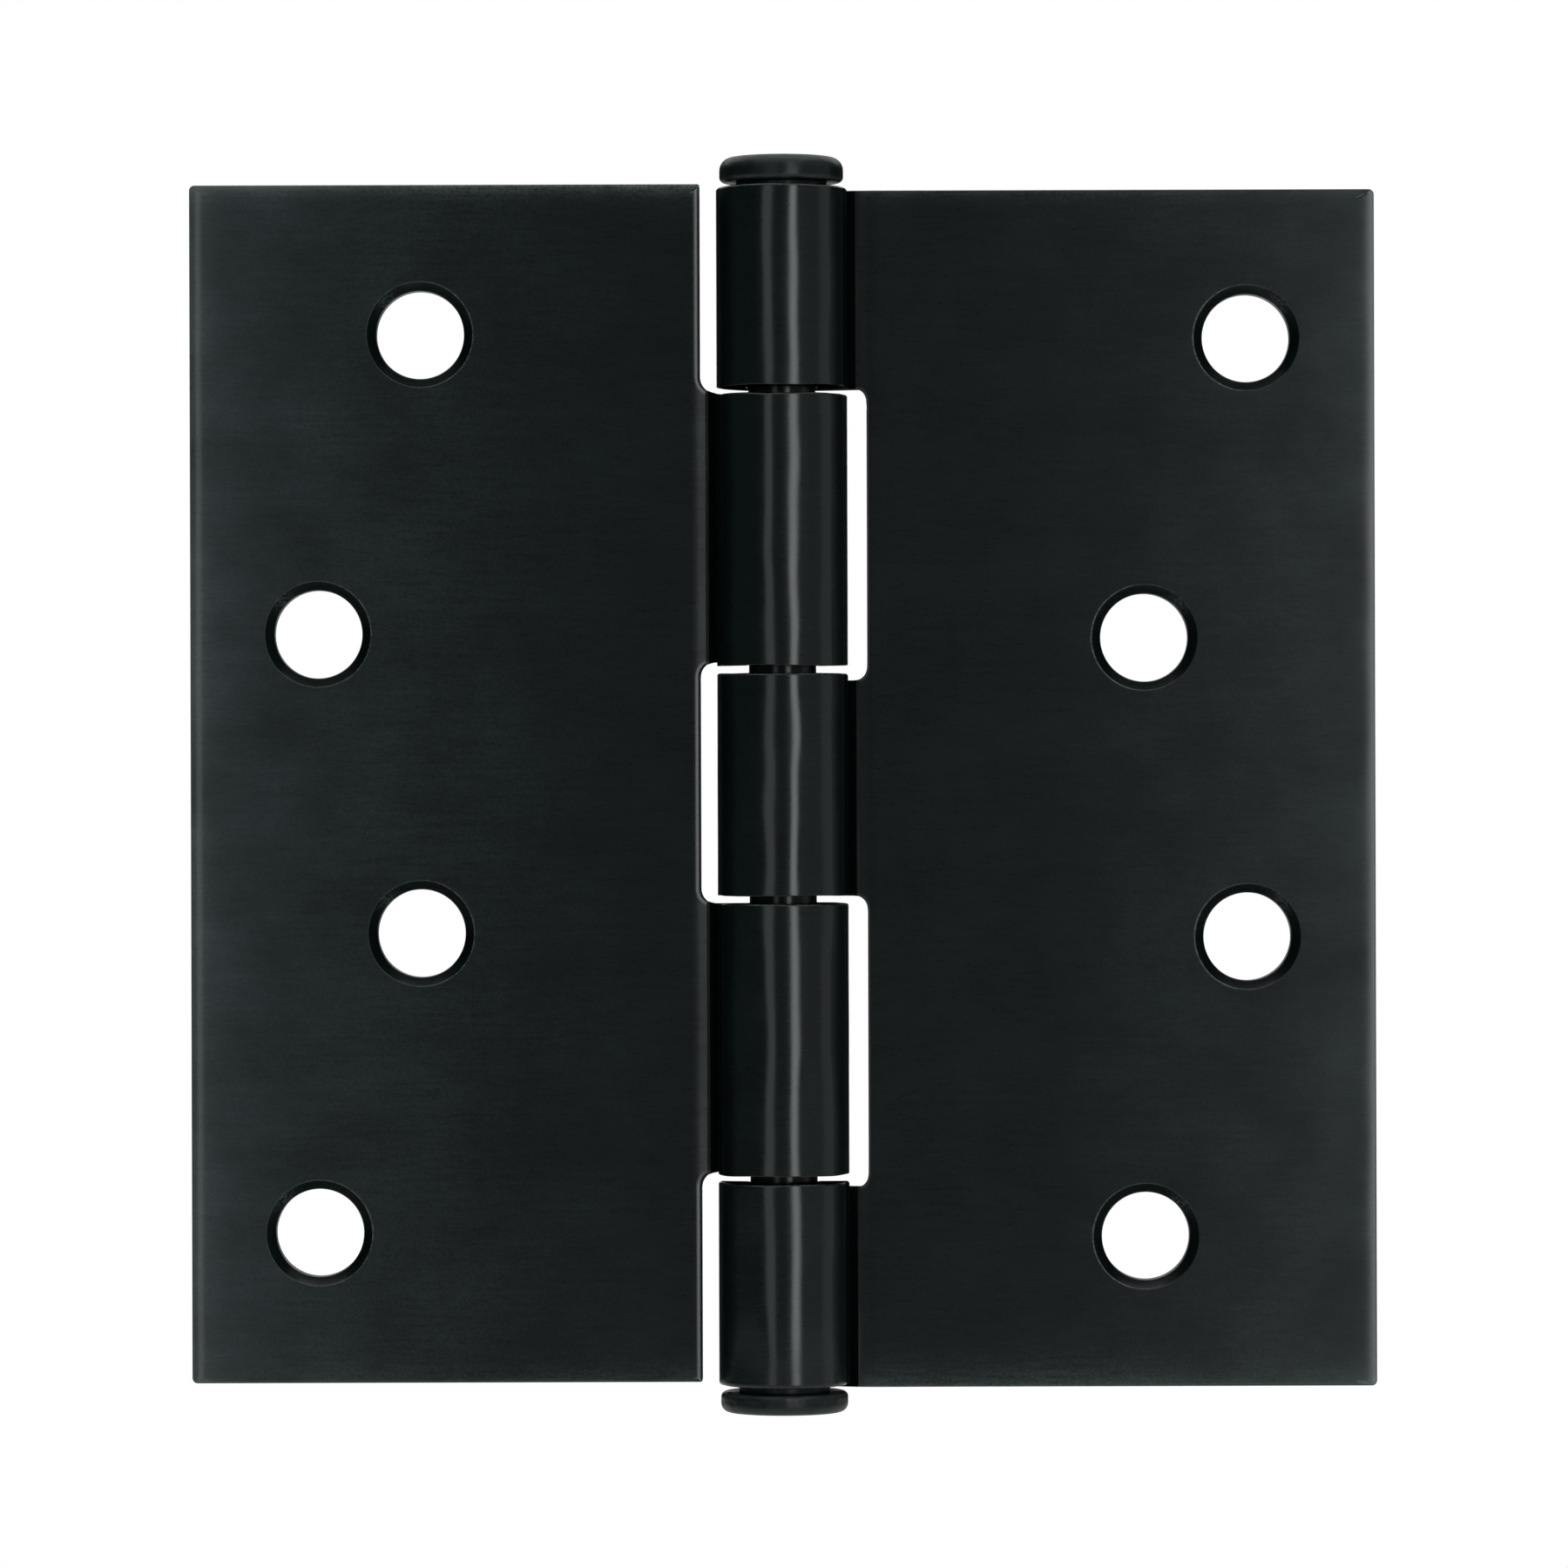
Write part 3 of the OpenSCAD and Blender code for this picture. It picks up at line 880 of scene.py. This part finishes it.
def coated_sheet_steel(tree):
    """Cold-rolled sheet, brushed along the leaf before it is blanked and rolled, then lacquered satin black.

    The brushing shows through the film as faint lines: level across the leaves, and round the knuckles.
    """
    finish = bpy.context.scene.hinge_finish
    place = object_place(tree)
    calc = math_nodes(tree)

    def noise(scale, detail=2.0, roughness=0.5):
        at = {"Vector": place, "Scale": scale, "Rotation": (0.0, 0.004, 0.0)}
        at = add_node(tree, "ShaderNodeMapping", at).outputs[0]
        return noise_at(tree, at, 1.0, detail, Roughness=roughness)

    def spread(value, low, high, start=0.3, stop=0.7):
        return ramp(tree, value, start, stop, low, high)

    def fading(distance, reach):
        """1 at an edge, and less and less away from it."""
        return calc("EXPONENT", calc("DIVIDE", distance, -reach))

    brush = noise((520, 520, 5200), 3.0, 0.6)  # brush lines: 0.19 mm apart, about 2 mm long, coarse enough to show
    long_brush = noise((90, 90, 2200), 2.0)    # deeper scratches: 0.45 mm apart, about 11 mm long
    cloud = noise((110, 110, 150), 3.0)        # clouds in the film, 7 to 9 mm across
    speck = noise((4300, 4300, 4300), 1.0)     # orange peel of the sprayed film, 0.23 mm
    dent = noise((150, 150, 95), 1.0)          # shallow marks along the knuckles, 7 to 10 mm long

    # painted light: the film's colour is made lighter towards the free edges of the leaves, standing in for the
    # brighter light there
    frame_plan = PLANS[0]
    across, _, up = separate(tree, place)
    off_centre = calc("ABSOLUTE", calc("SUBTRACT", across, 5.5 * MM))
    painted_light_share = calc("POWER", spread(off_centre, 0.0, 1.0, 10 * MM, 52.3 * MM), 2.0)
    film = mix_colours(tree, painted_light_share, linear(finish.coat), linear(finish.painted_light_coat))
    from_axis = calc("ABSOLUTE", across)
    # painted highlight: a lighter rim is coloured along the outer edges, more on the left leaf, and fainter ones along
    # the top and the bottom
    outer = fading(calc("SUBTRACT", frame_plan.reach, from_axis), 1.5 * MM)
    top = fading(calc("SUBTRACT", frame_plan.high, up), 0.45 * MM)
    bottom = fading(calc("SUBTRACT", up, frame_plan.low), 1.0 * MM)
    rim = calc("MULTIPLY", outer, spread(across, 0.7, 0.03, -6 * MM, 6 * MM))
    rim = calc("ADD", rim, calc("MULTIPLY", top, 0.35))
    rim = calc("ADD", rim, calc("MULTIPLY", bottom, 0.4))
    rim = calc("MULTIPLY", rim, spread(from_axis, 0.0, 1.0, 6 * MM, 7 * MM), use_clamp=True)
    film = mix_colours(tree, rim, film, linear(finish.edge_highlight_coat))
    lines = calc("ADD", spread(brush, -0.5, 0.5), spread(long_brush, -0.25, 0.25))
    grain = calc("ADD", lines, spread(speck, -0.6, 0.6))
    grain = calc("MULTIPLY", grain, spread(from_axis, 0.62, 0.15, 25 * MM, 48 * MM))
    uneven = calc("MULTIPLY", spread(cloud, 0.7, 1.3), calc("ADD", grain, 1.0))
    film = add_node(tree, "ShaderNodeVectorMath", {0: film, "Scale": uneven}, operation="SCALE").outputs[0]
    # painted shade: the film is set back to the darkest coat in the countersinks, on the cut faces and at the end of
    # the roll
    cut_and_shaded = carried(tree, "shear")
    film = mix_colours(tree, calc("MULTIPLY", cut_and_shaded, 3.4, use_clamp=True), film, linear(finish.coat))
    # rubbing along the rims, with painted highlight on the countersink lips and a painted reflection in one spot of
    # each countersink
    wear_and_glint = calc("MULTIPLY", carried(tree, "wear_and_highlight"), spread(speck, 0.0, 0.3, 0.35, 0.65), use_clamp=True)
    film = mix_colours(tree, wear_and_glint, film, linear(finish.wear_and_highlight_tone))

    gloss = calc("ADD", spread(brush, 0.145, 0.185), spread(cloud, -0.012, 0.012))
    rough = mix_values(tree, spread(cut_and_shaded, 0.0, 1.0, 0.3, 1.0), gloss, 0.5)

    relief = calc("MULTIPLY_ADD", speck, 0.3, calc("ADD", brush, calc("MULTIPLY", long_brush, 0.8)))
    fine_bump = bump_of(tree, relief, 0.2, 0.02 * MM)
    wave = calc("MULTIPLY", dent, spread(from_axis, 1.0, 0.15, 5.5 * MM, 6.5 * MM))
    lacquer(tree, film, rough, bump_of(tree, wave, 1.0, 0.3 * MM, Normal=fine_bump))


def turning_lines(tree, place):
    """Turning lines, 0.2 mm apart, that run round the axis."""
    at = add_node(tree, "ShaderNodeMapping", {"Vector": place, "Scale": (60, 60, 5000)}).outputs[0]
    return noise_at(tree, at, 1.0)


def coated_turned_steel(tree):
    """Steel with a headed button, lacquered satin black over faint turning lines."""
    finish = bpy.context.scene.hinge_finish
    place = object_place(tree)
    calc = math_nodes(tree)
    # uneven film, about 1 mm, over the hammered button, 2 to 3 mm
    cloud = noise_at(tree, place, 900.0, 3.0)
    hammer = noise_at(tree, place, 380.0)
    wear_and_glint = calc("MULTIPLY", calc("MULTIPLY", carried(tree, "wear_and_highlight"), cloud, use_clamp=True), 0.4)
    film = mix_colours(tree, wear_and_glint, linear(finish.coat), linear(finish.wear_and_highlight_tone))
    relief = calc("MULTIPLY_ADD", cloud, 2.0, turning_lines(tree, place))
    fine_bump = bump_of(tree, relief, 0.15, 0.02 * MM)
    bump = bump_of(tree, hammer, 1.0, 0.3 * MM, Normal=fine_bump)
    lacquer(tree, film, ramp(tree, cloud, 0.3, 0.7, 0.34, 0.5), bump, gloss=0.24)


def burnished_shaded_shank(tree):
    """A smoother black than the head's, with one narrow gleam; its deeper black is painted shade for the shank in the
    gaps between the knuckles.
    """
    bump = bump_of(tree, turning_lines(tree, object_place(tree)), 0.2, 0.01 * MM)
    lacquer(tree, linear(bpy.context.scene.hinge_finish.shank), 0.17, bump, gloss=0.22)


def painted_shade_film(tree):
    """Painted shade: a dead black film that hardly shines, for the nooks and the knuckle ends where shade falls."""
    shader = add_node(tree, "ShaderNodeBsdfPrincipled", {
        "Base Color": linear(bpy.context.scene.hinge_finish.shank),
        "Roughness": 0.85,
        "Metallic": 0.0,
        "IOR": 1.5,
        "Specular IOR Level": 0.05,
    })
    add_node(tree, "ShaderNodeOutputMaterial", {"Surface": shader.outputs[0]})


# ---------------------------------------------------------------- the studio

# name, azimuth and elevation in degrees, distance, width and height in metres, radiance
LAMPS = (
    ("strip_right", 20, 0, 0.9, 0.23, 1.3, 2.7),
    ("strip_right_core", 20, 0, 0.89, 0.12, 1.3, 1.4),
    ("strip_left", -23.8, 0, 0.9, 0.22, 1.3, 1.0),
    ("softbox_front", -5, 0, 1.2, 0.66, 1.3, 0.05),
    ("softbox_right", 66, 0, 0.9, 1.1, 1.0, 0.2),
    ("softbox_side", 84, 0, 0.9, 0.4, 1.0, 0.2),
    ("softbox_top", 0, 70, 1.2, 1.8, 1.2, 0.7),
    ("softbox_back", 180, 60, 1.2, 2.4, 2.0, 0.9),
)


def softbox(name, azimuth, elevation, distance, width, height, radiance):
    """A rectangular lamp of even brightness that looks at the hinge."""
    lamp = bpy.data.lights.new(name, "AREA")
    lamp.shape = "RECTANGLE"
    lamp.size, lamp.size_y = width, height
    lamp.energy = radiance * math.pi * width * height
    turn, rise = math.radians(azimuth), math.radians(elevation)
    away = Vector((math.sin(turn) * math.cos(rise), -math.cos(turn) * math.cos(rise), math.sin(rise)))
    holder = bpy.data.objects.new(name, lamp)
    bpy.context.scene.collection.objects.link(holder)
    holder.location = away * distance
    holder.rotation_euler = away.to_track_quat("Z", "Y").to_euler()
    holder.visible_camera = False


def whitened_card(tree, colour, share):
    """White card that turns to plain white, unlit, by this share."""
    card = add_node(tree, "ShaderNodeBsdfDiffuse", {"Color": linear(colour)}).outputs[0]
    white = add_node(tree, "ShaderNodeEmission", {"Color": (1, 1, 1, 1), "Strength": 1.0}).outputs[0]
    surface = add_node(tree, "ShaderNodeMixShader", {0: share, 1: card, 2: white}).outputs[0]
    add_node(tree, "ShaderNodeOutputMaterial", {"Surface": surface})


def floor_card(tree):
    """Seen from afar the card runs out into the white room; near the hinge it keeps the shadow."""
    flat = {0: object_place(tree), 1: (1, 1, 0)}
    flat = add_node(tree, "ShaderNodeVectorMath", flat, operation="MULTIPLY").outputs[0]
    away = add_node(tree, "ShaderNodeVectorMath", {0: flat}, operation="LENGTH").outputs["Value"]
    far = ramp(tree, away, 0.2, 0.6, interpolation_type="SMOOTHSTEP")
    seen = add_node(tree, "ShaderNodeLightPath").outputs["Is Camera Ray"]
    whitened_card(tree, "EBEBEB", math_nodes(tree)("MULTIPLY", far, seen))


def backdrop_card(tree):
    """Plain white to the eye and in reflections, and card to the light."""
    rays = add_node(tree, "ShaderNodeLightPath").outputs
    calc = math_nodes(tree)
    seen = calc("MAXIMUM", rays["Is Camera Ray"], rays["Is Glossy Ray"])
    whitened_card(tree, "E6E6E6", calc("MAXIMUM", seen, rays["Is Transmission Ray"]))


class HINGE_OT_make_stage(bpy.types.Operator):
    """Set the floor, the backdrop, the lamps and the camera"""

    bl_idname = "hinge.make_stage"
    bl_label = "Make stage"

    def execute(self, context):
        scene = context.scene
        self.make_floor()
        self.make_backdrop()
        self.make_world(scene)
        for lamp in LAMPS:
            softbox(*lamp)
        self.make_camera(scene)
        return {"FINISHED"}

    def plane(self, name, corners, material_name, build):
        mesh = bpy.data.meshes.new(name)
        mesh.from_pydata(corners, [], [range(4)])
        mesh.materials.append(named_material(material_name, build))
        link_object(name, mesh)

    def make_floor(self):
        level, front, back, side = -0.17, -0.9, 1.2, 1.2
        corners = [(-side, front, level), (side, front, level), (side, back, level), (-side, back, level)]
        self.plane("floor", corners, "White card floor", floor_card)

    def make_backdrop(self):
        far, side, top = 4.0, 0.7, 0.7
        corners = [(-side, far, -top), (side, far, -top), (side, far, top), (-side, far, top)]
        self.plane("backdrop", corners, "White card backdrop", backdrop_card)

    def make_world(self, scene):
        world = bpy.data.worlds.new("White room")
        world.use_nodes = True
        tree = world.node_tree
        tree.nodes.clear()
        rays = add_node(tree, "ShaderNodeLightPath").outputs
        # the unlit room is darker behind the hinge than in front of it
        towards = add_node(tree, "ShaderNodeTexCoord").outputs["Generated"]
        depth = separate(tree, towards)[1]
        level = ramp(tree, depth, -0.1, 0.4, 0.08, 0.02, interpolation_type="SMOOTHSTEP")
        dim = add_node(tree, "ShaderNodeBackground", {"Color": (0.8, 1, 1, 1), "Strength": level}).outputs[0]
        white = add_node(tree, "ShaderNodeBackground", {"Color": (1, 1, 1, 1), "Strength": 1.0}).outputs[0]
        room = add_node(tree, "ShaderNodeMixShader", {0: rays["Is Camera Ray"], 1: dim, 2: white}).outputs[0]
        add_node(tree, "ShaderNodeOutputWorld", {"Surface": room})
        scene.world = world

    def make_camera(self, scene):
        distance, field, lean = 0.64, 132.97 * MM, math.radians(0.17)
        aside, above = 0.09 * MM, 0.04 * MM
        # the field is measured at the countersunk faces
        face = 0.75 * MM
        data = bpy.data.cameras.new("camera")
        data.sensor_width = 36.0
        data.lens = data.sensor_width * (distance + face) / field
        camera = bpy.data.objects.new("camera", data)
        scene.collection.objects.link(camera)
        camera.matrix_world = (
            Matrix.Translation((aside, -distance, above))
            @ Matrix.Rotation(math.pi / 2, 4, "X")
            @ Matrix.Rotation(-lean, 4, "Z")
        )
        scene.camera = camera
        scene.view_settings.view_transform = "Standard"


# ---------------------------------------------------------------- add-on

class HINGE_PT_panel(bpy.types.Panel):
    """The hinge's makers, in the sidebar"""

    bl_idname = "HINGE_PT_panel"
    bl_label = "Door hinge"
    bl_space_type = "VIEW_3D"
    bl_region_type = "UI"
    bl_category = "Hinge"

    def draw(self, context):
        layout = self.layout
        for name in GROUPS:
            group, box = getattr(context.scene, name), layout.box()
            for value in group.__annotations__:
                box.prop(group, value)
        for maker in MAKERS:
            layout.operator(maker.bl_idname)


GROUPS = {"hinge_leaf_sizes": LeafSizes, "hinge_pin_sizes": PinSizes, "hinge_finish": Finish}
MAKERS = (HINGE_OT_make_leaves, HINGE_OT_make_pin, HINGE_OT_make_tip, HINGE_OT_make_stage)
CLASSES = (*GROUPS.values(), *MAKERS, HINGE_PT_panel)


def register():
    for cls in CLASSES:
        bpy.utils.register_class(cls)
    for name, group in GROUPS.items():
        setattr(bpy.types.Scene, name, PointerProperty(type=group))


def unregister():
    for name in reversed(GROUPS):
        delattr(bpy.types.Scene, name)
    for cls in reversed(CLASSES):
        bpy.utils.unregister_class(cls)


def main():
    register()
    bpy.ops.hinge.make_leaves()
    bpy.ops.hinge.make_pin()
    bpy.ops.hinge.make_tip()
    bpy.ops.hinge.make_stage()


if __name__ == "__main__":
    main()
